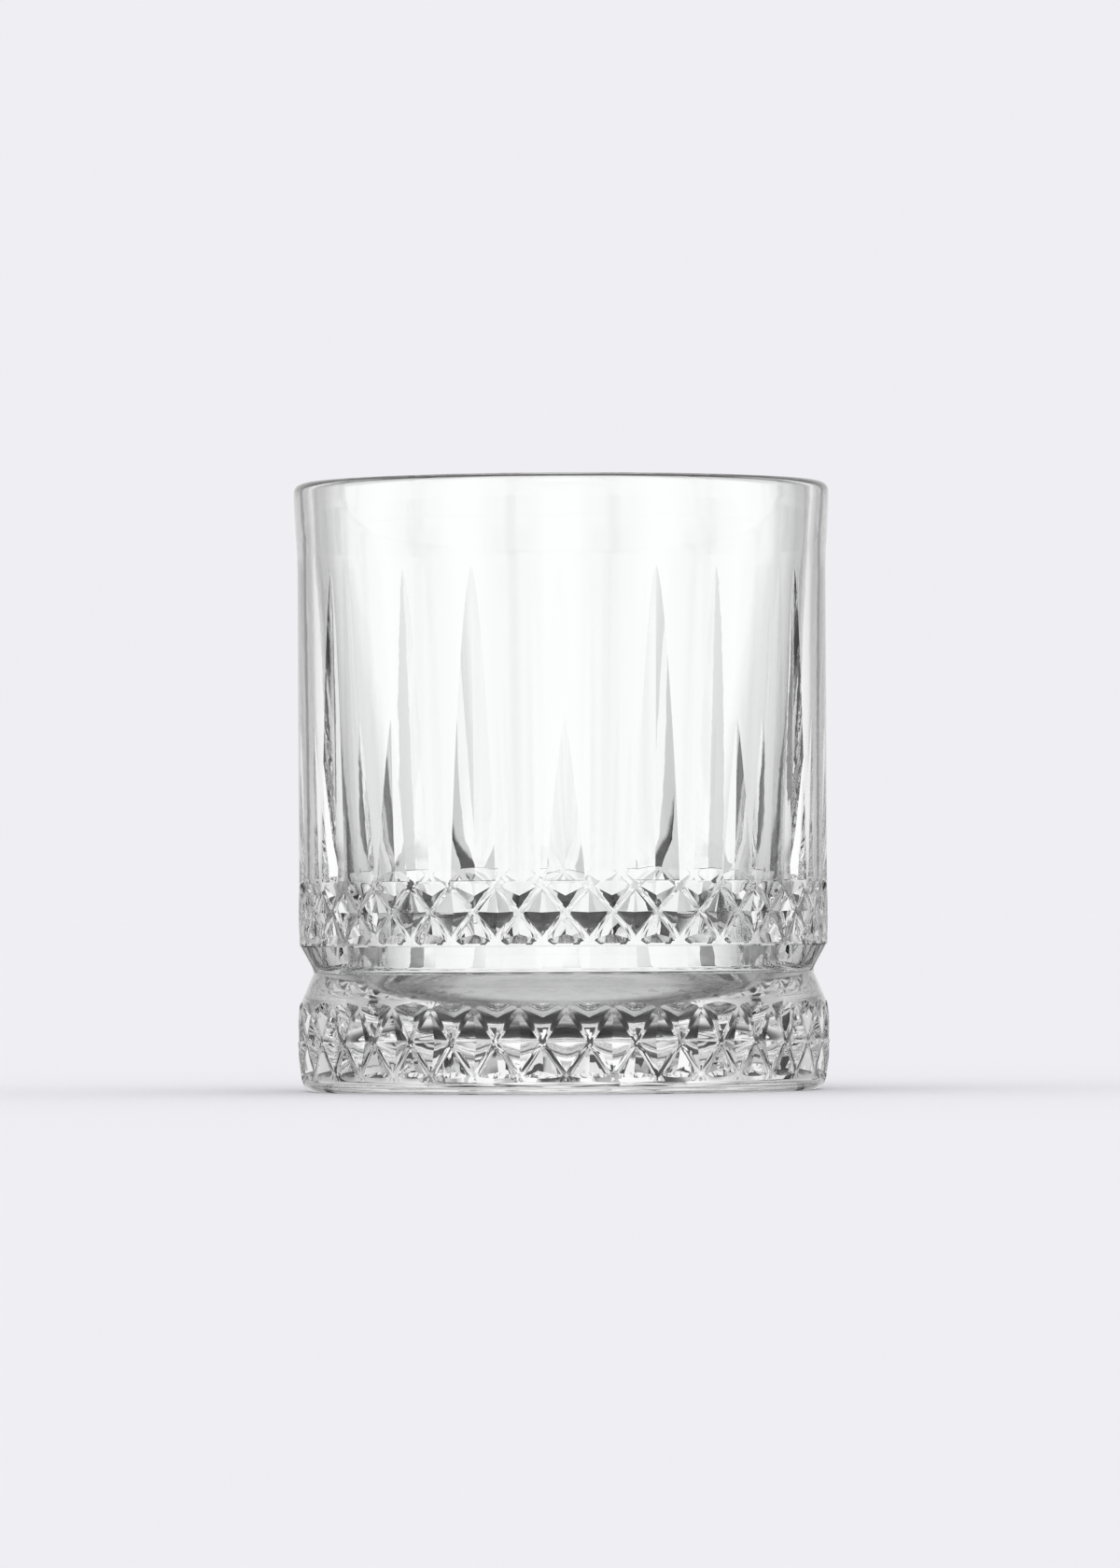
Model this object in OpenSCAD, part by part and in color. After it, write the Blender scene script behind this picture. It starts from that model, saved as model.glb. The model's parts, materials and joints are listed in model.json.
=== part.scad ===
// Pressed-glass whiskey tumbler: one piece of clear glass with a heavy base, a ring of
// alternating tall and short spear flutes, and two lattice bands of sunk diamonds.
// Origin: centre of the resting plane, +Z up, millimetres.

/* [Body] */
// Overall height, resting plane to the top of the rim
height = 96; // [90:0.5:110]
// Outside diameter of the straight body; rim, bands, waist, foot and drink space follow it
body_d = 83.55; // [76:0.05:92]
// How far the rim flares out past the body
rim_flare = 0.55; // [0.2:0.05:1.5]
// Height of the flare from the straight body up to the rim
flare_h = 11; // [6:0.5:12]
// Wall thickness at the rim, which the rounded lip takes as its diameter
rim_wall = 2.85; // [2:0.05:3.5]

/* [Drink space] */
// Thickness of the glass under the drink space
floor_t = 9; // [7:0.5:14]
// Wall thickness at the foot of the drink space, where its rounded corner starts
low_wall = 6.5; // [4.5:0.1:8]
// Radius of the rounded corner between the floor and the wall
corner_r = 7.5; // [4:0.5:10]

/* [Foot and waist] */
// Height of the plain foot under the lower band
foot_h = 2.4; // [1.8:0.1:4]
// How far the foot draws in from the body
foot_in = 0.35; // [0.1:0.05:1.5]
// Radius of the rounded foot edge
foot_round = 2.2; // [1:0.1:3]
// Width of the ring that the tumbler stands on, between the rounded edge and the punt
rest_w = 5.9; // [3:0.1:10]
// Depth of the punt, the shallow hollow under the base
punt_h = 1.2; // [0.6:0.1:2]
// Depth of the waist groove
waist_depth = 2.2; // [1.2:0.1:3]
// Radius of the root of the waist groove
waist_round = 1; // [0.5:0.1:1.5]
// Height of the slope that rises from the waist to the body
upper_slope_h = 3.85; // [3:0.05:6]
// Height of the slope that falls from the waist to the lower band
lower_slope_h = 4.9; // [3:0.1:7]

/* [Lower lattice band] */
// Height of the lower band
lower_band_h = 11.8; // [10.5:0.1:14]
// How far the lower band swells out past the body
lower_band_swell = 0.15; // [0:0.05:0.8]
// Height of the middle row's centres over the lower edge of the band
lower_mid_h = 5.65; // [5:0.05:6.5]
// Height of a diamond, node to node
lower_cell_h = 10.5; // [8:0.1:12]
// Depth of a diamond
lower_cell_depth = 1.3; // [0.6:0.1:1.6]
// Height of the lens-shaped facets along the foot of the band
lower_foot_lens = 1; // [0.6:0.1:2.5]
// Height of the lens-shaped facets along the top of the band
lower_top_lens = 2.6; // [1:0.1:3]

/* [Upper lattice band] */
// Height of the upper band
upper_band_h = 8.95; // [8.5:0.05:12]
// Height of the middle row's centres over the lower edge of the band
upper_mid_h = 5; // [4:0.05:6]
// Height of a diamond, node to node
upper_cell_h = 8.35; // [7:0.05:10]
// Depth of a diamond
upper_cell_depth = 0.9; // [0.5:0.1:1.4]
// Height of the lens-shaped facets along the foot of the band
upper_foot_lens = 1.8; // [0.8:0.1:2.5]
// Height of the lens-shaped facets along the top of the band
upper_top_lens = 2.2; // [0.8:0.1:3]
// Width of the raised bars between the diamonds, in both bands
bar_w = 0.9; // [0.6:0.05:1.3]

/* [Flutes] */
// Number of flutes, half of them tall and half short; each is as wide as one diamond
flute_count = 18; // [16:2:20]
// Length of a tall flute
tall_flute = 48.6; // [40:0.1:50]
// Length of a short flute
short_flute = 25.1; // [15:0.1:35]
// Depth of a flute along its centre line, at its foot
flute_depth = 0.9; // [0.5:0.1:1.4]
// Height of the plain ring between the upper band and the flutes
ring_h = 0.6; // [0.4:0.1:1.5]

/* [Hidden] */
$fn = 96;

// Radii, all taken from the body
body_r = body_d / 2;
rim_r = body_r + rim_flare;
lip_r = rim_wall / 2;
bore_r = body_r - low_wall;
waist_r = body_r - waist_depth;
lower_band_r = body_r + lower_band_swell;
foot_r = body_r - foot_in;
punt_r = foot_r - foot_round - rest_w;

// How far the edges of the lower band draw in, and over which height
edge_in = 0.35;
edge_h = 2.2;
// Size of the broken edge under the upper band
ring_edge = 0.3;

// Levels, stacked from the resting plane up
lower_slope_z = foot_h + lower_band_h;
waist_z = lower_slope_z + lower_slope_h;
upper_slope_z = waist_z + upper_slope_h;
upper_band_z = upper_slope_z + ring_edge;
flute_z = upper_band_z + upper_band_h + ring_h;
lip_z = height - lip_r;

// The lattice: diamonds side by side, and a flute over every other one
cells = 2 * flute_count;
pitch = 360 / cells;

// Degrees in one step of an arc, and steps across the punt and along a flute
arc_step = 12;
punt_steps = 5;
flute_steps = 8;
// Angle from the horizontal at which the slopes leave the round root of the waist
waist_turn = 25;
// Taper of a short flute: 1 gives straight sides, less gives fuller ones
short_taper = 0.6;

// How far a cutter stands out of the surface that it cuts: a band's ring, the sides and
// the tip of a flute, and a diamond as a share of its depth
proud = 1;
flute_side_out = 0.3;
flute_tip_out = 0.05;
diamond_out = 1.1;

// Points of an arc about c, from angle a0 to a1
function arc(c, r, a0, a1) =
    let (n = ceil(abs(a1 - a0) / arc_step))
        [for (i = [0:n]) c + r * [cos(a0 + (a1 - a0) * i / n), sin(a0 + (a1 - a0) * i / n)]];

// The punt in section, from its middle out to the ring that the tumbler stands on
function punt() =
    [for (i = [0:punt_steps]) [punt_r * i / punt_steps, punt_h * (1 - pow(i / punt_steps, 2))]];

// The glass in section before any cutting, from the middle of the punt out and up to the
// lip, and down the drink space to the middle of its floor
function glass_profile() = concat(
    punt(),
    arc([foot_r - foot_round, foot_round], foot_round, -90, 0),
    [[lower_band_r - edge_in, foot_h]],
    [[lower_band_r, foot_h + edge_h], [lower_band_r, lower_slope_z - edge_h]],
    [[lower_band_r - edge_in, lower_slope_z]],
    arc([waist_r + waist_round, waist_z], waist_round, 180 + waist_turn, 180 - waist_turn),
    [[body_r - ring_edge, upper_slope_z], [body_r, upper_band_z]],
    [[body_r, height - flare_h]],
    arc([rim_r - lip_r, lip_z], lip_r, 0, 180),
    arc([bore_r - corner_r, floor_t + corner_r], corner_r, 0, -90),
    [[0, floor_t]]
);

// A solid through sections stacked upwards, each a ring with the same count of points,
// clockwise from above
module loft(sections) {
    n = len(sections[0]);
    top = (len(sections) - 1) * n;
    sides = [
        for (s = [0:len(sections) - 2], i = [0:n - 1], half = [0, 1])
            let (a = s * n + i, b = s * n + (i + 1) % n)
                half == 0 ? [a, b, b + n] : [a, b + n, a + n]
    ];
    caps = [for (i = [1:n - 2], end = [0, 1]) end == 0 ? [0, i + 1, i] : [top, top + i, top + i + 1]];
    polyhedron([for (s = sections, p = s) p], concat(sides, caps));
}

// Half width of a flute at its foot, and at the share u of its length: full and rounded
// for a tall flute, slimmer for a short one
flute_half_w = body_r * sin(pitch / 2);
function flute_half(u, tall) = flute_half_w * (tall ? sqrt(1 - u * u) : pow(1 - u, short_taper));

// One section of a flute's cutter: a shallow V whose sides meet the body at the flute's edge
function flute_section(z, half) =
    let (
        slope = flute_depth / flute_half_w - flute_half_w / (2 * body_r),
        deep = half * half / (2 * body_r) + slope * half,
        root = half > 0 ? body_r - deep : body_r + flute_tip_out,
        side = half + flute_side_out
    )
    [
        [0, -root, z],
        [side, -root - slope * side, z],
        [side, -body_r - proud, z],
        [-side, -body_r - proud, z],
        [-side, -root - slope * side, z]
    ];

// Cutter for one flute, facing -Y, with its foot on the ring over the upper band
module flute(length, tall) {
    loft([
        for (i = [0:flute_steps])
            let (u = sin(90 * i / flute_steps))
                flute_section(flute_z + length * u, i == flute_steps ? 0 : flute_half(u, tall))
    ]);
}

// Short and tall flutes in turn, with a short one at the front
module flutes() {
    for (i = [0:flute_count - 1])
        rotate([0, 0, i * 2 * pitch])
            if (i % 2 == 0) flute(short_flute, false);
            else flute(tall_flute, true);
}

// Cutter for one diamond, facing -Y: an inverted four-sided pyramid whose edges stop
// half a bar short of the lattice lines. It stands a little out of the surface.
module diamond(r, cell_h, depth) {
    lattice_w = r * sin(pitch / 2);
    lattice_h = cell_h / 2;
    inset = bar_w / 2 * norm([lattice_w, lattice_h]);
    w = lattice_w - inset / lattice_h;
    h = lattice_h - inset / lattice_w;
    sag = r - sqrt(r * r - w * w);
    side_y = -(r - depth) - diamond_out * (depth - sag);
    tip_y = -(r - depth) - diamond_out * depth;
    polyhedron(
        [
            [0, -(r - depth), 0],
            [diamond_out * w, side_y, 0],
            [0, tip_y, diamond_out * h],
            [-diamond_out * w, side_y, 0],
            [0, tip_y, -diamond_out * h]
        ],
        [[0, 1, 2], [0, 2, 3], [0, 3, 4], [0, 4, 1], [1, 4, 2], [2, 4, 3]]
    );
}

// Three staggered rows of diamonds; mid_phase turns the middle row, as a share of a cell
module diamond_rows(r, mid_z, cell_h, depth, mid_phase) {
    for (i = [0:cells - 1], row = [-1, 0, 1])
        rotate([0, 0, (i + (row == 0 ? mid_phase : 0.5 - mid_phase)) * pitch])
            translate([0, 0, mid_z + row * cell_h / 2])
                diamond(r, cell_h, depth);
}

// The ring that a band's diamonds may reach: its sloping ends close the outer rows with
// lens-shaped facets
module band_ring(r, low_z, high_z, depth, foot_lens, top_lens) {
    inner = 2 * depth;
    rotate_extrude()
        polygon([
            [r - inner, low_z + foot_lens * inner / depth],
            [r + proud, low_z - foot_lens * proud / depth],
            [r + proud, high_z + top_lens * proud / depth],
            [r - inner, high_z - top_lens * inner / depth]
        ]);
}

module upper_band() {
    depth = upper_cell_depth;
    top_z = upper_band_z + upper_band_h;
    intersection() {
        diamond_rows(body_r, upper_band_z + upper_mid_h, upper_cell_h, depth, 0.5);
        band_ring(body_r, upper_band_z, top_z, depth, upper_foot_lens, upper_top_lens);
    }
}

module lower_band() {
    depth = lower_cell_depth;
    intersection() {
        diamond_rows(lower_band_r, foot_h + lower_mid_h, lower_cell_h, depth, 0);
        band_ring(lower_band_r, foot_h, lower_slope_z, depth, lower_foot_lens, lower_top_lens);
    }
}

module tumbler() {
    color([0.93, 0.96, 0.97], 0.35)
        difference() {
            rotate_extrude() polygon(glass_profile());
            flutes();
            upper_band();
            lower_band();
        }
}

tumbler();
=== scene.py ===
"""Pressed-glass whiskey tumbler: the glass itself, its clear material and a plain studio."""

import json
import math
from typing import NamedTuple

import bmesh
import bpy
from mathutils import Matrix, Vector

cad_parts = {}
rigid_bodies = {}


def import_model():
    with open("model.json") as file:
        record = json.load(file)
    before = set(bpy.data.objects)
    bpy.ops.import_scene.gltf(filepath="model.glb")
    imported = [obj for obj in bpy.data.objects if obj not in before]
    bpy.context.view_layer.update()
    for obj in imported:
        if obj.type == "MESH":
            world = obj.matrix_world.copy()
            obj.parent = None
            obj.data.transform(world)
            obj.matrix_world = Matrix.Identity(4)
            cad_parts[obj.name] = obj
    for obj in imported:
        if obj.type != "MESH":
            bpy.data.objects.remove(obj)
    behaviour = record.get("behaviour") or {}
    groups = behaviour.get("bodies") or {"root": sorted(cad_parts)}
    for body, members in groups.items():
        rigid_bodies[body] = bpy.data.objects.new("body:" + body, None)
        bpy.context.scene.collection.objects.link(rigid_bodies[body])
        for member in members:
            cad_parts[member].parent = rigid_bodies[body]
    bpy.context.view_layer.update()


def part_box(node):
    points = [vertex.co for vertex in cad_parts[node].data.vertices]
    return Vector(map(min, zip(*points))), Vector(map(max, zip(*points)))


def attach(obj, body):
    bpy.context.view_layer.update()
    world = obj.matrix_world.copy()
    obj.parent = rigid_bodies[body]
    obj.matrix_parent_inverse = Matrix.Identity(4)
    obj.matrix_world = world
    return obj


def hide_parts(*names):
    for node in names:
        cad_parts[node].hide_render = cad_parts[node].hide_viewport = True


bl_info = {
    "name": "Pressed-Glass Tumbler",
    "version": (1, 0, 0),
    "blender": (4, 5, 0),
    "location": "3D View > Sidebar > Tumbler",
    "description": "Models a pressed-glass whiskey tumbler with spear flutes and two lattice bands",
    "category": "Add Mesh",
}

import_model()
GLASS_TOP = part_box("tumbler")[1][2]

# The glass is modelled at one unit to a millimetre, and brought to its size in metres last
MM = 0.001
# Slacks in those millimetres: for a cut, for a place, for a level and for a drawn outline
TINY = 0.0001
SLACK = 0.002
LEVEL_SLACK = 0.0006
OUTLINE_SLACK = 0.01


def millimetres(name, description, default, low, high):
    """A length property whose default and limits are written in millimetres."""
    return bpy.props.FloatProperty(
        name=name,
        description=description,
        default=default * MM,
        min=low * MM,
        max=high * MM,
        precision=5,
        unit="LENGTH",
        subtype="DISTANCE",
    )


# --------------------------------------------------------------------------- sizes


class TumblerBodySettings(bpy.types.PropertyGroup):
    """Sizes of the wall, the lip, the drink space and the base."""

    height: millimetres("Height", "Resting plane to the top of the rim", GLASS_TOP / MM, 80, 120)
    body_radius: millimetres("Body radius", "Outside radius of the straight wall", 41.775, 35, 50)
    rim_wall: millimetres("Rim wall", "Wall thickness at the rim, the diameter of the lip", 2.85, 2, 4)
    rim_flare: millimetres("Rim flare", "How far the rim stands out past the body", 0.53, 0, 2)
    floor_thickness: millimetres("Floor thickness", "Glass under the drink space", 9, 6, 16)
    low_wall: millimetres("Low wall", "Wall thickness at the foot of the drink space", 6.5, 4, 8)
    corner_radius: millimetres("Corner radius", "Rounded corner of the drink space", 7.5, 4, 10)
    punt_radius: millimetres("Punt radius", "Radius of the hollow under the base", 33.3, 20, 36)
    punt_depth: millimetres("Punt depth", "Depth of the hollow under the base", 1.2, 0.2, 3)


class TumblerReliefSettings(bpy.types.PropertyGroup):
    """Sizes of the pressed relief: the two lattice bands and the flutes."""

    flutes: bpy.props.IntProperty(
        name="Flutes", description="Number of flutes, tall and short in turn", default=18, min=8, max=24
    )
    bar_width: millimetres("Bar width", "Width of the raised bars of the lattice", 1.14, 0.4, 1.5)
    bar_rise: millimetres("Bar rise", "How far a bar's crest stands over its edges", 0.14, 0, 0.4)
    tall_flute: millimetres("Tall flute", "Length of a tall flute", 48.6, 30, 55)
    short_flute: millimetres("Short flute", "Length of a short flute", 25.1, 15, 40)
    flute_depth: millimetres("Flute depth", "Depth of a flute at its foot", 0.76, 0.3, 1.5)


class TumblerFinishSettings(bpy.types.PropertyGroup):
    """Colours of the glass and of the studio."""

    glass_colour: bpy.props.FloatVectorProperty(
        name="Glass", description="Tint of the clear glass", default=(0.993, 0.995, 0.996),
        subtype="COLOR", size=3, min=0, max=1,
    )
    backdrop_colour: bpy.props.FloatVectorProperty(
        name="Backdrop", description="Colour of the floor and the backdrop",
        default=(0.8632, 0.8550, 0.8963), subtype="COLOR", size=3, min=0, max=1,
    )


# --------------------------------------------------------------------------- bench tools


def deselect_objects():
    """Deselect everything, so that an operator acts on nothing by accident."""
    for obj in bpy.context.scene.objects:
        obj.select_set(False)


def pick(obj, test, kind="VERT"):
    """In edit mode, select just the vertices, edges or faces that pass a test."""
    bpy.ops.mesh.select_mode(type=kind)
    bpy.ops.mesh.select_all(action="DESELECT")
    mesh = bmesh.from_edit_mesh(obj.data)
    parts = {"VERT": mesh.verts, "EDGE": mesh.edges, "FACE": mesh.faces}[kind]
    count = 0
    for part in parts:
        if test(part):
            part.select_set(True)
            count += 1
    mesh.select_flush_mode()
    bmesh.update_edit_mesh(obj.data)
    return count


def move(x=0.0, y=0.0, z=0.0):
    """Move what is selected."""
    bpy.ops.transform.translate(value=(x, y, z))


def cut(point, normal, **options):
    """Cut what is selected along a plane."""
    plane = Vector(normal).normalized()
    bpy.ops.mesh.bisect(plane_co=point, plane_no=plane, threshold=TINY, **options)


def middle(part):
    """Middle of an edge or a face."""
    return sum((v.co for v in part.verts), Vector()) / len(part.verts)


def near(a, b, slack=SLACK):
    """Whether two values are the same but for a slack."""
    return abs(a - b) < slack


# --------------------------------------------------------------------------- pressed wall


class Band(NamedTuple):
    """One lattice band, in bench millimetres: three staggered rows of sunk diamonds.

    foot, middle and top are the heights at which its bars cross, low_edge and high_edge those
    of the plain rings that it lies between. A well is the height and the depth of the deepest
    point of an outer diamond, and an arc is how far its lens-shaped end bows out.
    """

    phase: float
    depth: float
    low_edge: float
    foot: float
    middle: float
    top: float
    high_edge: float
    foot_well: tuple
    top_well: tuple
    foot_arc: float
    top_arc: float

    def line_distance(self, point, cell):
        """Distance from the nearest line of the lattice."""
        rise = self.top - self.middle if point.z > self.middle else self.middle - self.foot
        along = abs(point.z - self.middle) / rise * cell / 2
        best = cell
        for side in (-1, 1):
            offset = (point.x - side * along) / cell - self.phase + 0.5
            best = min(best, abs(offset - round(offset)) * cell)
        return best * rise / math.hypot(rise, cell / 2)


LOWER_BAND = Band(
    phase=0.0, depth=1.3, low_edge=1.97, foot=2.97, middle=7.99, top=13.35, high_edge=14.4,
    foot_well=(3.51, 1.1), top_well=(11.92, 0.92), foot_arc=0.45, top_arc=0.8,
)
UPPER_BAND = Band(
    phase=0.5, depth=0.9, low_edge=23.04, foot=23.96, middle=28.3, top=32.12, high_edge=32.98,
    foot_well=(24.75, 0.68), top_well=(31.6, 0.62), foot_arc=0.65, top_arc=0.45,
)
BANDS = (LOWER_BAND, UPPER_BAND)

# One repeat of the pattern, a tall and a short flute wide, in cells from the middle of a short
# flute, and the sheet that it is pressed in, with a spare cell at each end
REPEAT_START, REPEAT_END = -1, 3
SHEET_START, SHEET_END = REPEAT_START - 1, REPEAT_END + 1
# Columns in a cell
CELL_SLICES = 8

# Round edge of the foot, how far it stands in from the body, and the turns at which it is cut
FOOT_ROUND = 2.2
FOOT_INSET = 0.35
FOOT_TURNS = (15, 30, 45, 60, 75)
# The waist and its round root, as heights and how far each stands in from the body
WAIST_SECTION = ((18.45, 2.13), (18.65, 2.19), (18.9, 2.2), (19.2, 2.16), (19.5, 2.07), (19.8, 1.93))
# Top of the slope over the waist
SLOPE_TOP = 22.82
# The whole wall over the round edge of its foot, in the same way, up to the lip
WALL_SECTION = (
    (FOOT_ROUND, FOOT_INSET), (3.6, 0.12), (5.5, -0.1), (8.0, -0.15), (11.6, -0.15), (13.4, 0.05),
    (14.4, 0.38), *WAIST_SECTION, (SLOPE_TOP, 0.26), (23.04, 0.0), (82.0, 0.0), (84.0, -0.03),
    (86.0, -0.13), (88.0, -0.28), (90.0, -0.41), (92.0, -0.5), (94.57, -0.53),
)
# Heights at which the flare of the rim is cut
FLARE_LEVELS = (82, 83, 84, 85, 86, 87, 88, 89, 90, 91, 92, 93.2)

# An edge that leans less than this, sideways or upwards, isn't part of a bar
LEAST_SLANT = 0.05
# Faces across a bar, and how many of its half widths lie between its crest and a well
BAR_SEGMENTS = 4
BAR_CLEARANCE = 1.2
# Steps from a bar's crest to its edge, and how suddenly it falls off there
BAR_STEPS = 12
BAR_FALL = 4
# Height over which the bars are drawn together at their top crossings, and by what share
PINCH_REACH = 1.1
PINCH_SHARE = 0.9

# Height of the flutes' feet, and heights over them at which their outlines have a point
FLUTE_FOOT = 33.1
FLUTE_STEPS = (
    0, 0.9, 2.1, 3.6, 6.3, 12.6, 18.6, 22.2, 24.3, 25.1, 31.0, 36.4, 40.8, 44.4, 46.8, 48.1, 48.6,
)
# Outline of a tall flute, as two powers of its height, and of a short one, as its width in
# cells at the foot and a power
TALL_POWERS = (1.2, 0.63)
SHORT_WIDTH, SHORT_POWER = 0.84, 0.8
# Extra depth at a flute's foot as a share, the height at which it is greatest, and its spread
FOOT_SINK, SINK_HEIGHT, SINK_SPREAD = 0.42, 2.6, 3.2

# Rings of the lip, of the rounded corner, of the floor as radii, and of the punt as shares
LIP_STEPS = 12
CORNER_STEPS = 10
FLOOR_RINGS = (19, 10, 3)
PUNT_RINGS = (0.88, 0.75, 0.6, 0.45, 0.3, 0.15, 0.05)
# An open end of the wall lies within this of the lip or of the resting plane
END_REACH = 1
# Edges that turn more than this stay sharp
CREASE_DEGREES = 20


def new_strip(cell, height):
    """A flat upright sheet that faces -Y, some cells of the wall wide."""
    centre = ((SHEET_START + SHEET_END) / 2 * cell, 0, height / 2)
    bpy.ops.mesh.primitive_plane_add(size=1, location=centre, rotation=(math.pi / 2, 0, 0))
    strip = bpy.context.object
    strip.name = "tumbler_glass"
    strip.scale = ((SHEET_END - SHEET_START) * cell, height, 1)
    bpy.ops.object.transform_apply(location=True, rotation=True, scale=True)
    return strip


def cut_levels(levels):
    """Cut the sheet across at each height."""
    for level in sorted(set(levels)):
        bpy.ops.mesh.select_all(action="SELECT")
        cut((0, 0, level), (0, 0, 1))


def cut_columns(places):
    """Cut the sheet from top to bottom at each place."""
    for x in places:
        bpy.ops.mesh.select_all(action="SELECT")
        cut((x, 0, 0), (1, 0, 0))


def draw_lattice(strip, band, cell):
    """Draw the crossed lines of a band on the sheet."""
    halves = (
        (band.low_edge, band.middle, band.middle - band.foot),
        (band.middle, band.high_edge, band.top - band.middle),
    )
    for low, high, rise in halves:
        for k in range(SHEET_START - 2, SHEET_END + 2):
            for side in (-1, 1):
                pick(strip, lambda f: low < middle(f).z < high, "FACE")
                cut(((k + band.phase + 0.5) * cell, 0, band.middle), (rise, 0, side * cell / 2))
    pick(strip, lambda e: all(near(v.co.z, band.middle) for v in e.verts), "EDGE")
    bpy.ops.mesh.dissolve_edges(use_verts=False)


def widen_bars(strip, band, cell, half):
    """Widen the lines of a band into flat bars, with room for a round top."""

    def is_line(edge):
        a, b = (v.co for v in edge.verts)
        slanted = abs(a.x - b.x) > LEAST_SLANT and abs(a.z - b.z) > LEAST_SLANT
        return slanted and band.low_edge < middle(edge).z < band.high_edge

    pick(strip, is_line, "EDGE")
    bpy.ops.mesh.bevel(offset=half, segments=BAR_SEGMENTS, affect="EDGES", clamp_overlap=False)


def sink_wells(strip, band, cell, half):
    """Sink what lies between the bars into pyramids, the outer ones with a lens-shaped end."""

    def in_well(point):
        clear = band.line_distance(point, cell) > half * BAR_CLEARANCE
        return clear and band.foot < point.z < band.top

    def on_line(v, turn):
        offset = v.co.x / cell - band.phase - turn
        return near(offset, round(offset)) and in_well(v.co)

    pick(strip, lambda f: in_well(middle(f)), "FACE")
    bpy.ops.mesh.poke()
    pick(strip, lambda v: on_line(v, 0) and abs(v.co.z - band.middle) < half)
    move(y=band.depth)
    for low, high, (z, depth) in (
        (band.foot, band.middle, band.foot_well),
        (band.middle, band.top, band.top_well),
    ):
        pick(strip, lambda v: on_line(v, 0.5) and low < v.co.z < high)
        mesh = bmesh.from_edit_mesh(strip.data)
        now = next(v.co.z for v in mesh.verts if v.select)
        move(y=depth, z=z - now)


def round_bars(strip, band, cell, half, rise):
    """Lower the sides of the bars, so that only their crests stay at the wall's surface."""
    for step in range(1, BAR_STEPS + 1):
        low = (step - 0.5) / BAR_STEPS * half
        high = (step + 0.5) / BAR_STEPS * half

        def on_side(v):
            inside = band.foot + OUTLINE_SLACK < v.co.z < band.top - OUTLINE_SLACK
            return inside and v.co.y < TINY and low <= band.line_distance(v.co, cell) < high

        if pick(strip, on_side):
            move(y=rise * (step / BAR_STEPS) ** BAR_FALL)


def bow_ends(strip, band, cell):
    """Bow the straight ends of the outer diamonds into lens shapes."""
    for edge, arc, way in ((band.foot, band.foot_arc, -1), (band.top, band.top_arc, 1)):
        for step in range(1, CELL_SLICES // 2 + 1):
            share = 1 - 2 * step / CELL_SLICES

            def on_end(v):
                offset = abs((v.co.x / cell - band.phase) % 1 - 0.5)
                return near(v.co.z, edge) and near(offset, share / 2)

            if pick(strip, on_end):
                move(z=way * arc * (1 - share**2))


def pinch_nodes(strip, band, cell):
    """Draw the bars together where they cross at the top, so that the lens shapes nearly touch."""
    pulls = {}
    for vertex in bmesh.from_edit_mesh(strip.data).verts:
        offset = ((vertex.co.x / cell - band.phase + 0.5) % 1 - 0.5) * cell
        near_top = max(0.0, 1 - abs(vertex.co.z - band.top) / PINCH_REACH)
        near_node = max(0.0, 1 - abs(offset) / (cell / 4))
        pulls[vertex.index] = round(-PINCH_SHARE * offset * near_top * near_node, 2)
    for pull in sorted(set(pulls.values())):
        if pull:
            pick(strip, lambda v: pulls[v.index] == pull)
            move(x=pull)


def outline_width(step, length, cell, tall):
    """Half the width of a flute at a height over its foot."""
    share = min(step / length, 1.0)
    if tall:
        return cell / 2 * (1 - share ** TALL_POWERS[0]) ** TALL_POWERS[1]
    return cell / 2 * (SHORT_WIDTH * (1 - share) ** SHORT_POWER)


def press_flute(strip, centre, length, tall, cell, depth, radius):
    """Cut one flute's outline into the sheet, and sink its middle line into a V."""
    steps = [s for s in FLUTE_STEPS if s < length] + [length]
    for low, high in zip(steps, steps[1:]):
        a = outline_width(low, length, cell, tall)
        b = outline_width(high, length, cell, tall)
        for side in (-1, 1):

            def beside(f):
                spot = middle(f)
                level = FLUTE_FOOT + low < spot.z < FLUTE_FOOT + high
                return level and 0 < side * (spot.x - centre) < cell / 2

            pick(strip, beside, "FACE")
            cut((centre + side * a, 0, FLUTE_FOOT + low), (high - low, 0, side * (a - b)))
    for step in steps[:-1]:
        half = outline_width(step, length, cell, tall)
        sunk = depth * half / (cell / 2) - half * (cell / 2 - half) / (2 * radius)
        sunk *= 1 + FOOT_SINK * math.exp(-(((step - SINK_HEIGHT) / SINK_SPREAD) ** 2))
        pick(strip, lambda v: near(v.co.x, centre) and near(v.co.z, FLUTE_FOOT + step))
        move(y=sunk)

    def is_crease(edge):
        ends = [v.co for v in edge.verts]
        heights = [end.z - FLUTE_FOOT for end in ends]
        if near(*heights) or min(heights) < -OUTLINE_SLACK or max(heights) > length + OUTLINE_SLACK:
            return False
        sides = [abs(end.x - centre) for end in ends]
        widths = [outline_width(height, length, cell, tall) for height in heights]
        on_outline = all(near(side, width, OUTLINE_SLACK) for side, width in zip(sides, widths))
        return on_outline or all(side < SLACK for side in sides)

    pick(strip, is_crease, "EDGE")
    bpy.ops.mesh.mark_sharp()


def wall_inset(z):
    """How far the wall stands in from the straight body at a height, waist and foot included."""
    if z < FOOT_ROUND:
        side = math.sqrt(max(0.0, FOOT_ROUND**2 - (FOOT_ROUND - z) ** 2))
        return FOOT_INSET + FOOT_ROUND - side
    for (z0, inset0), (z1, inset1) in zip(WALL_SECTION, WALL_SECTION[1:]):
        if z <= z1:
            return inset0 + (inset1 - inset0) * (z - z0) / (z1 - z0)
    return WALL_SECTION[-1][1]


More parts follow.
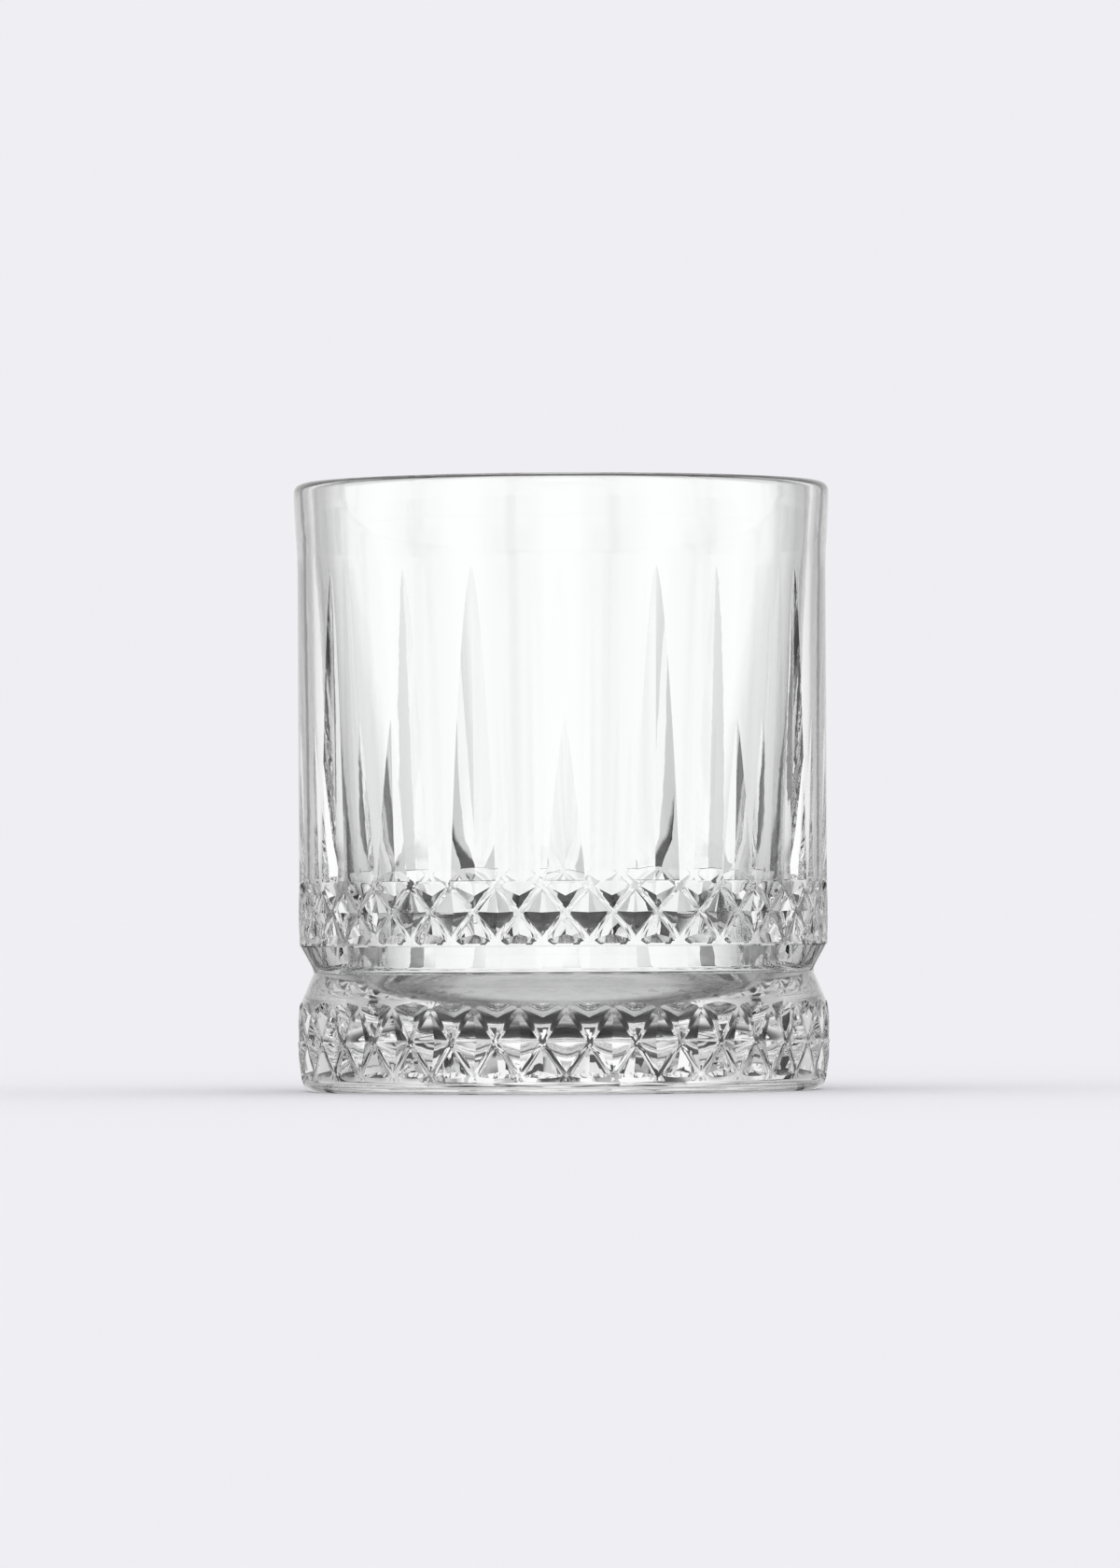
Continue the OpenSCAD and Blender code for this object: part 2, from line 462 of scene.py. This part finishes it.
def draw_in(strip):
    """Give the flat wall its section, level by level: foot, bands, waist, body and flare."""
    mesh = bmesh.from_edit_mesh(strip.data)
    levels = sorted({round(v.co.z, 3) for v in mesh.verts})
    for level in levels:
        inset = wall_inset(level)
        if abs(inset) > TINY:
            pick(strip, lambda v: near(v.co.z, level, LEVEL_SLACK))
            move(y=inset)


def wall_levels():
    """Every height at which the sheet is cut across."""
    levels = [SLOPE_TOP, *FLARE_LEVELS]
    for band in BANDS:
        levels += [band.low_edge, band.foot, band.middle, band.top, band.high_edge]
    levels += [FOOT_ROUND * (1 - math.cos(math.radians(turn))) for turn in FOOT_TURNS]
    levels += [z for z, _ in WAIST_SECTION]
    levels += [FLUTE_FOOT + step for step in FLUTE_STEPS]
    return levels


def press_wall(body, relief):
    """The patterned outer wall as a flat sheet, one tall and one short flute wide."""
    radius = body.body_radius / MM
    cell = 2 * math.pi * radius / (2 * relief.flutes)
    half = relief.bar_width / MM / 2
    rise = relief.bar_rise / MM
    depth = relief.flute_depth / MM
    lip_level = (body.height - body.rim_wall / 2) / MM
    strip = new_strip(cell, lip_level)
    bpy.ops.object.mode_set(mode="EDIT")
    cut_levels(wall_levels())
    for band in BANDS:
        draw_lattice(strip, band, cell)
        widen_bars(strip, band, cell, half)
        sink_wells(strip, band, cell, half)
        round_bars(strip, band, cell, half, rise)
    cut_columns([k * cell / 2 for k in range(2 * SHEET_START, 2 * SHEET_END + 1)])
    for k in range(SHEET_START // 2, SHEET_END // 2 + 1):
        tall = k % 2 == 1
        length = (relief.tall_flute if tall else relief.short_flute) / MM
        press_flute(strip, 2 * k * cell, length, tall, cell, depth, radius)
    slices = range(SHEET_START * CELL_SLICES, SHEET_END * CELL_SLICES)
    cut_columns([k * cell / CELL_SLICES for k in slices if k % (CELL_SLICES // 2)])
    for band in BANDS:
        bow_ends(strip, band, cell)
    pinch_nodes(strip, LOWER_BAND, cell)
    bpy.ops.mesh.select_all(action="SELECT")
    cut((REPEAT_START * cell, 0, 0), (1, 0, 0), clear_inner=True)
    bpy.ops.mesh.select_all(action="SELECT")
    cut((REPEAT_END * cell, 0, 0), (1, 0, 0), clear_outer=True)
    draw_in(strip)
    return strip, cell


def add_modifier(obj, name, kind, **values):
    """Add a modifier with its values, and apply it."""
    modifier = obj.modifiers.new(name, kind)
    for key, value in values.items():
        setattr(modifier, key, value)
    bpy.ops.object.modifier_apply(modifier=modifier.name)


def wrap_wall(wall, cell, radius, repeats):
    """Set the repeats side by side, and bend the row round into the closed outer wall."""
    bpy.ops.object.mode_set(mode="OBJECT")
    add_modifier(
        wall, "Repeats", "ARRAY", count=repeats, use_relative_offset=False, use_constant_offset=True,
        constant_offset_displace=((REPEAT_END - REPEAT_START) * cell, 0, 0),
        use_merge_vertices=True, merge_threshold=SLACK,
    )
    add_modifier(
        wall, "Bend", "SIMPLE_DEFORM", deform_method="BEND", deform_axis="Z", angle=2 * math.pi,
    )
    bpy.ops.object.mode_set(mode="EDIT")
    bpy.ops.mesh.select_all(action="SELECT")
    move(y=-radius)
    bpy.ops.mesh.remove_doubles(threshold=SLACK)


def arc_points(centre, radius, start, end, steps):
    """Points of an arc as pairs of radius and height, without its first point."""
    points = []
    for step in range(1, steps + 1):
        turn = math.radians(start + (end - start) * step / steps)
        points.append((centre[0] + radius * math.cos(turn), centre[1] + radius * math.sin(turn)))
    return points


def turn_inwards(wall, is_edge, start, rings, centre_z):
    """Carry an open end of the wall on through rings of a radius and a height, and close it."""
    pick(wall, is_edge, "EDGE")
    radius, z = start
    for new_radius, new_z in rings:
        bpy.ops.mesh.extrude_region_move(TRANSFORM_OT_translate={"value": (0, 0, new_z - z)})
        share = new_radius / radius
        bpy.ops.transform.resize(value=(share, share, 1), center_override=(0, 0, new_z))
        radius, z = new_radius, new_z
    bpy.ops.mesh.extrude_region_move(TRANSFORM_OT_translate={"value": (0, 0, centre_z - z)})
    bpy.ops.mesh.merge(type="CENTER")


def close_glass(wall, body):
    """Turn the wall over the lip and down into the drink space, and under into the punt."""
    lip = body.rim_wall / MM / 2
    lip_z = body.height / MM - lip
    rim = (body.body_radius + body.rim_flare) / MM
    floor = body.floor_thickness / MM
    corner = body.corner_radius / MM
    bore = (body.body_radius - body.low_wall) / MM
    inside = arc_points((rim - lip, lip_z), lip, 0, 180, LIP_STEPS)
    inside.append((bore, floor + corner))
    inside += arc_points((bore - corner, floor + corner), corner, 0, -90, CORNER_STEPS)
    inside += [(radius, floor) for radius in FLOOR_RINGS]

    def at_lip(edge):
        return edge.is_boundary and middle(edge).z > lip_z - END_REACH

    turn_inwards(wall, at_lip, (rim, lip_z), inside, floor)
    punt = body.punt_radius / MM
    depth = body.punt_depth / MM
    under = [(punt, 0)]
    under += [(punt * share, depth * (1 - share**2)) for share in PUNT_RINGS]
    foot = body.body_radius / MM - wall_inset(0)

    def at_foot(edge):
        return edge.is_boundary and middle(edge).z < END_REACH

    turn_inwards(wall, at_foot, (foot, 0), under, depth)
    bpy.ops.mesh.select_all(action="SELECT")
    bpy.ops.mesh.normals_make_consistent(inside=False)


def finish_glass(glass):
    """Bring the glass to its real size, and smooth all but its creases."""
    bpy.ops.mesh.select_all(action="SELECT")
    bpy.ops.transform.resize(value=(MM, MM, MM), center_override=(0, 0, 0))
    bpy.ops.object.mode_set(mode="OBJECT")
    bpy.ops.object.shade_smooth_by_angle(angle=math.radians(CREASE_DEGREES))
    add_modifier(glass, "Weighted normals", "WEIGHTED_NORMAL", keep_sharp=True)


# --------------------------------------------------------------------------- materials

# Bending of light in the glass, depth of its surface's waves in metres, and most roughness
GLASS_IOR = 1.5
WAVE_DEPTH = 0.00003
MOST_HAZE = 0.02
# Painted shade: the glass's colour is darkened where it is seen nearly edge on, between these shares of
# a glancing look, down to this level
PAINTED_EDGE_SHADE_START = 0.45
PAINTED_EDGE_SHADE_END = 0.9
PAINTED_EDGE_SHADE_LEVEL = 0.12
# Below this height in metres, and over this blend, the painted shade sets in at a less glancing look, so
# the base is painted darker
PAINTED_SHADE_BASE_TOP = 0.034
PAINTED_SHADE_BASE_BLEND = 0.01
PAINTED_BASE_SHADE_START = 0.12

# Brightness of the studio by direction, as pairs of a share and a level. Sides: from a white
# panel's middle (0) to a dark flag's (1). Heights: straight down (0), level (0.5), straight up (1).
PANELS = 8
SIDE_LEVELS = ((0, 1), (0.33, 1), (0.42, 0.8), (0.6, 0.7), (0.88, 0.6), (0.92, 0.03), (1, 0.01))
HIGH_SIDE_LEVELS = ((0, 1), (0.33, 1), (0.42, 0.8), (0.55, 0.6), (0.68, 0.05), (1, 0.01))
HEIGHT_LEVELS = ((0, 0.9), (0.5, 1), (0.9, 1), (0.96, 0.3), (1, 0.3))
# Heights at which the high panels take over from the low ones, and the overhead panel from both
HIGH_SHARE = ((0, 0), (0.545, 0), (0.57, 1), (1, 1))
OVERHEAD_SHARE = ((0, 0), (0.6, 0), (0.69, 1), (1, 1))
# The floor as it shows only through the glass is a painted glow with painted shadow, by distance from
# its middle as a share of this reach
# in metres: its brightness, with dark rings of painted shadow close round the glass, and where the
# panels' pattern sets in
PAINTED_GLOW_REACH = 0.6
PAINTED_GLOW_AND_SHADOW_LEVELS = (
    (0, 0.75), (0.03, 0.75), (0.038, 0.01), (0.057, 0.01), (0.064, 0.85), (0.1, 0.85),
    (0.113, 0.05), (0.2, 0.07), (0.25, 0.6), (0.33, 0.92), (0.5, 1), (1, 1),
)
PAINTED_PANEL_SHARE = ((0, 0), (0.06, 0), (0.066, 1), (1, 1))


def group_socket(group, name, way, kind, default=None):
    """Give a node group an input or an output."""
    socket = group.interface.new_socket(name=name, in_out=way, socket_type=kind)
    if default is not None:
        socket.default_value = default


def fire_polish_group():
    """Slow waves and fine ripples of a fire-polished surface, from Object coordinates."""
    group = bpy.data.node_groups.new("fire_polish", "ShaderNodeTree")
    group_socket(group, "Wave scale", "INPUT", "NodeSocketFloat", 60.0)
    group_socket(group, "Ripple scale", "INPUT", "NodeSocketFloat", 420.0)
    group_socket(group, "Ripple share", "INPUT", "NodeSocketFloat", 0.15)
    group_socket(group, "Height", "OUTPUT", "NodeSocketFloat")
    group_socket(group, "Haze", "OUTPUT", "NodeSocketFloat")
    nodes, links = group.nodes, group.links
    inputs = nodes.new("NodeGroupInput")
    outputs = nodes.new("NodeGroupOutput")
    coordinates = nodes.new("ShaderNodeTexCoord")
    waves = nodes.new("ShaderNodeTexNoise")
    waves.inputs["Detail"].default_value = 1.0
    ripples = nodes.new("ShaderNodeTexNoise")
    ripples.inputs["Detail"].default_value = 2.0
    links.new(coordinates.outputs["Object"], waves.inputs["Vector"])
    links.new(coordinates.outputs["Object"], ripples.inputs["Vector"])
    links.new(inputs.outputs["Wave scale"], waves.inputs["Scale"])
    links.new(inputs.outputs["Ripple scale"], ripples.inputs["Scale"])
    blend = nodes.new("ShaderNodeMix")
    links.new(inputs.outputs["Ripple share"], blend.inputs["Factor"])
    links.new(waves.outputs["Fac"], blend.inputs["A"])
    links.new(ripples.outputs["Fac"], blend.inputs["B"])
    links.new(blend.outputs["Result"], outputs.inputs["Height"])
    links.new(ripples.outputs["Fac"], outputs.inputs["Haze"])
    return group


def clear_glass_material(finish):
    """Clear pressed glass: fire-polished, faintly wavy, its colour darkened edge on by painted shade,
    more in its base.
    """
    material = bpy.data.materials.new("clear_glass")
    material.use_nodes = True
    nodes, links = material.node_tree.nodes, material.node_tree.links
    glass = nodes["Principled BSDF"]
    glass.inputs["Transmission Weight"].default_value = 1.0
    glass.inputs["IOR"].default_value = GLASS_IOR
    glass.inputs["Metallic"].default_value = 0.0
    polish = nodes.new("ShaderNodeGroup")
    polish.node_tree = fire_polish_group()
    bump = nodes.new("ShaderNodeBump")
    bump.inputs["Distance"].default_value = WAVE_DEPTH
    bump.inputs["Strength"].default_value = 1.0
    links.new(polish.outputs["Height"], bump.inputs["Height"])
    links.new(bump.outputs["Normal"], glass.inputs["Normal"])
    haze = nodes.new("ShaderNodeMapRange")
    haze.inputs["To Min"].default_value = 0.0
    haze.inputs["To Max"].default_value = MOST_HAZE
    links.new(polish.outputs["Haze"], haze.inputs["Value"])
    links.new(haze.outputs["Result"], glass.inputs["Roughness"])
    # Painted shade: Layer Weight darkens the glass colour at glancing looks, and at less glancing ones
    # below the base height
    weight = nodes.new("ShaderNodeLayerWeight")
    weight.inputs["Blend"].default_value = 0.5
    edge = nodes.new("ShaderNodeMapRange")
    edge.interpolation_type = "SMOOTHSTEP"
    edge.inputs["From Max"].default_value = PAINTED_EDGE_SHADE_END
    links.new(weight.outputs["Facing"], edge.inputs["Value"])
    coordinates = nodes.new("ShaderNodeTexCoord")
    position = nodes.new("ShaderNodeSeparateXYZ")
    links.new(coordinates.outputs["Object"], position.inputs["Vector"])
    painted_shade_start = nodes.new("ShaderNodeMapRange")
    painted_shade_start.interpolation_type = "SMOOTHSTEP"
    painted_shade_start.inputs["From Min"].default_value = PAINTED_SHADE_BASE_TOP + PAINTED_SHADE_BASE_BLEND
    painted_shade_start.inputs["From Max"].default_value = PAINTED_SHADE_BASE_TOP - PAINTED_SHADE_BASE_BLEND
    painted_shade_start.inputs["To Min"].default_value = PAINTED_EDGE_SHADE_START
    painted_shade_start.inputs["To Max"].default_value = PAINTED_BASE_SHADE_START
    links.new(position.outputs["Z"], painted_shade_start.inputs["Value"])
    links.new(painted_shade_start.outputs["Result"], edge.inputs["From Min"])
    # The painted shade, as a mix towards a darker copy of the glass colour
    painted_shade_colour = nodes.new("ShaderNodeMix")
    painted_shade_colour.data_type = "RGBA"
    painted_shade_colour.inputs["A"].default_value = (*finish.glass_colour, 1)
    painted_shade_colour.inputs["B"].default_value = (*[part * PAINTED_EDGE_SHADE_LEVEL for part in finish.glass_colour], 1)
    links.new(edge.outputs["Result"], painted_shade_colour.inputs["Factor"])
    links.new(painted_shade_colour.outputs["Result"], glass.inputs["Base Color"])
    return material


def math_node(tree, operation, *values):
    """A Math node, each of whose inputs is a number or another node's output."""
    node = tree.nodes.new("ShaderNodeMath")
    node.operation = operation
    for socket, value in zip(node.inputs, values):
        if isinstance(value, (int, float)):
            socket.default_value = value
        else:
            tree.links.new(value, socket)
    return node.outputs[0]


def level_ramp(tree, value, stops):
    """Grey levels over a value that runs from 0 to 1."""
    node = tree.nodes.new("ShaderNodeValToRGB")
    elements = node.color_ramp.elements
    for stop in stops[1:-1]:
        elements.new(stop[0])
    for element, (share, level) in zip(elements, stops):
        element.position = share
        element.color = (level, level, level, 1)
    tree.links.new(value, node.inputs["Fac"])
    return node.outputs["Color"]


def mixed_colour(tree, factor, first, second, blend="MIX"):
    """A colour Mix node, each of whose inputs is a value or another node's output."""
    node = tree.nodes.new("ShaderNodeMix")
    node.data_type = "RGBA"
    node.blend_type = blend
    sockets = (node.inputs["Factor"], node.inputs["A"], node.inputs["B"])
    for socket, value in zip(sockets, (factor, first, second)):
        if isinstance(value, (int, float, tuple)):
            socket.default_value = value
        else:
            tree.links.new(value, socket)
    return node.outputs["Result"]


def through_glass(tree):
    """1 for what is seen in or through the glass, 0 for the rest."""
    path = tree.nodes.new("ShaderNodeLightPath")
    return math_node(tree, "MAXIMUM", path.outputs["Is Transmission Ray"], path.outputs["Is Glossy Ray"])


def panel_fold(tree, direction):
    """0 in the direction of a white panel's middle, up to 1 in that of a dark flag's."""
    position = tree.nodes.new("ShaderNodeSeparateXYZ")
    tree.links.new(direction, position.inputs["Vector"])
    azimuth = math_node(tree, "ARCTAN2", position.outputs["X"], position.outputs["Y"])
    half_turn = math.pi / PANELS
    return math_node(tree, "DIVIDE", math_node(tree, "PINGPONG", azimuth, half_turn), half_turn)


def floor_card_and_painted_glow_material(finish):
    """Matt pale card; through the glass it shows a painted glow instead, brighter far off, with painted
    shadow in dark rings close round it.
    """
    material = bpy.data.materials.new("pale_floor")
    material.use_nodes = True
    tree = material.node_tree
    card = tree.nodes["Principled BSDF"]
    card.inputs["Base Color"].default_value = (*finish.backdrop_colour, 1)
    card.inputs["Roughness"].default_value = 1.0
    card.inputs["Specular IOR Level"].default_value = 0.0
    coordinates = tree.nodes.new("ShaderNodeTexCoord")
    distance = tree.nodes.new("ShaderNodeVectorMath")
    distance.operation = "LENGTH"
    tree.links.new(coordinates.outputs["Object"], distance.inputs[0])
    share = math_node(tree, "DIVIDE", distance.outputs["Value"], PAINTED_GLOW_REACH)
    # The studio's white panels and dark flags, painted into the floor's glow
    sides = level_ramp(tree, panel_fold(tree, coordinates.outputs["Object"]), SIDE_LEVELS)
    sides = mixed_colour(tree, level_ramp(tree, share, PAINTED_PANEL_SHARE), (1, 1, 1, 1), sides)
    # Painted glow by distance, with dark rings of painted shadow round the glass
    spread = level_ramp(tree, share, PAINTED_GLOW_AND_SHADOW_LEVELS)
    painted_glow_and_shadow = tree.nodes.new("ShaderNodeEmission")
    tree.links.new(mixed_colour(tree, 1.0, sides, spread, "MULTIPLY"), painted_glow_and_shadow.inputs["Color"])
    # Rays in or through the glass see the painted glow and shadow, all other rays the plain card
    choice = tree.nodes.new("ShaderNodeMixShader")
    tree.links.new(through_glass(tree), choice.inputs["Fac"])
    tree.links.new(card.outputs["BSDF"], choice.inputs[1])
    tree.links.new(painted_glow_and_shadow.outputs["Emission"], choice.inputs[2])
    tree.links.new(choice.outputs["Shader"], tree.nodes["Material Output"].inputs["Surface"])
    return material


def studio_world(finish):
    """A studio seen by direction: white panels all round and overhead, dark flags between them."""
    world = bpy.data.worlds.new("studio")
    world.use_nodes = True
    tree = world.node_tree
    tree.nodes.clear()
    coordinates = tree.nodes.new("ShaderNodeTexCoord")
    position = tree.nodes.new("ShaderNodeSeparateXYZ")
    tree.links.new(coordinates.outputs["Generated"], position.inputs["Vector"])
    fold = panel_fold(tree, coordinates.outputs["Generated"])
    height = math_node(tree, "MULTIPLY_ADD", position.outputs["Z"], 0.5, 0.5)
    overhead = level_ramp(tree, height, OVERHEAD_SHARE)
    low = level_ramp(tree, fold, SIDE_LEVELS)
    high = level_ramp(tree, fold, HIGH_SIDE_LEVELS)
    panels = mixed_colour(tree, level_ramp(tree, height, HIGH_SHARE), low, high)
    panels = mixed_colour(tree, overhead, panels, (1, 1, 1, 1))
    studio = mixed_colour(tree, 1.0, panels, level_ramp(tree, height, HEIGHT_LEVELS), "MULTIPLY")
    path = tree.nodes.new("ShaderNodeLightPath")
    even = mixed_colour(tree, path.outputs["Is Transmission Ray"], (1, 1, 1, 1), studio)
    backdrop = (*finish.backdrop_colour, 1)
    seen = mixed_colour(tree, path.outputs["Is Camera Ray"], even, backdrop)
    background = tree.nodes.new("ShaderNodeBackground")
    tree.links.new(seen, background.inputs["Color"])
    output = tree.nodes.new("ShaderNodeOutputWorld")
    tree.links.new(background.outputs["Background"], output.inputs["Surface"])
    return world


# --------------------------------------------------------------------------- operators

FLOOR_SIZE = 80
# How often light passes on through glass, and how often it is reflected
GLASS_BOUNCES = 32
GLOSS_BOUNCES = 16
# The camera's place and aim in metres, its roll in degrees and its lens in millimetres
CAMERA_PLACE = (-0.0148, -1.67, 0.0283)
CAMERA_AIM = (-0.0004, 0, 0.0484)
CAMERA_ROLL = -0.3
CAMERA_LENS = 242.6


class OBJECT_OT_tumbler_glass(bpy.types.Operator):
    """Press, wrap and close the glass, and lay it over the plain solid"""

    bl_idname = "object.tumbler_glass"
    bl_label = "Glass"

    def execute(self, context):
        scene = context.scene
        body, relief = scene.tumbler_body, scene.tumbler_relief
        deselect_objects()
        wall, cell = press_wall(body, relief)
        wrap_wall(wall, cell, body.body_radius / MM, relief.flutes // 2)
        close_glass(wall, body)
        finish_glass(wall)
        wall.data.materials.append(clear_glass_material(scene.tumbler_finish))
        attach(wall, "root")
        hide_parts("tumbler")
        return {"FINISHED"}


class OBJECT_OT_tumbler_stage(bpy.types.Operator):
    """Set the pale floor, the studio's panels and the camera"""

    bl_idname = "object.tumbler_stage"
    bl_label = "Stage"

    def execute(self, context):
        scene = context.scene
        finish = scene.tumbler_finish
        deselect_objects()
        bpy.ops.mesh.primitive_plane_add(size=FLOOR_SIZE, location=(0, 0, 0))
        floor = context.object
        floor.name = "floor"
        floor.data.materials.append(floor_card_and_painted_glow_material(finish))
        scene.world = studio_world(finish)
        scene.view_settings.view_transform = "Standard"
        scene.cycles.max_bounces = GLASS_BOUNCES
        scene.cycles.transmission_bounces = GLASS_BOUNCES
        scene.cycles.glossy_bounces = GLOSS_BOUNCES
        camera = bpy.data.cameras.new("camera")
        camera.sensor_fit = "VERTICAL"
        camera.sensor_height = 36
        camera.lens = CAMERA_LENS
        camera.clip_end = 200
        holder = bpy.data.objects.new("camera", camera)
        scene.collection.objects.link(holder)
        holder.location = CAMERA_PLACE
        aim = Vector(CAMERA_AIM) - holder.location
        holder.rotation_euler = aim.to_track_quat("-Z", "Y").to_euler()
        holder.rotation_euler.rotate_axis("Z", math.radians(CAMERA_ROLL))
        scene.camera = holder
        return {"FINISHED"}


class VIEW3D_PT_tumbler(bpy.types.Panel):
    """Lists the tumbler's piece and its stage"""

    bl_label = "Tumbler"
    bl_space_type = "VIEW_3D"
    bl_region_type = "UI"
    bl_category = "Tumbler"

    def draw(self, context):
        for operator in OPERATORS:
            self.layout.operator(operator.bl_idname)


SETTINGS = {
    "tumbler_body": TumblerBodySettings,
    "tumbler_relief": TumblerReliefSettings,
    "tumbler_finish": TumblerFinishSettings,
}
OPERATORS = (OBJECT_OT_tumbler_glass, OBJECT_OT_tumbler_stage)


def register():
    for cls in (*SETTINGS.values(), *OPERATORS, VIEW3D_PT_tumbler):
        bpy.utils.register_class(cls)
    for name, cls in SETTINGS.items():
        setattr(bpy.types.Scene, name, bpy.props.PointerProperty(type=cls))


def unregister():
    for name in SETTINGS:
        delattr(bpy.types.Scene, name)
    for cls in (VIEW3D_PT_tumbler, *OPERATORS, *SETTINGS.values()):
        bpy.utils.unregister_class(cls)


def main():
    register()
    bpy.ops.object.tumbler_glass()
    bpy.ops.object.tumbler_stage()


if __name__ == "__main__":
    main()
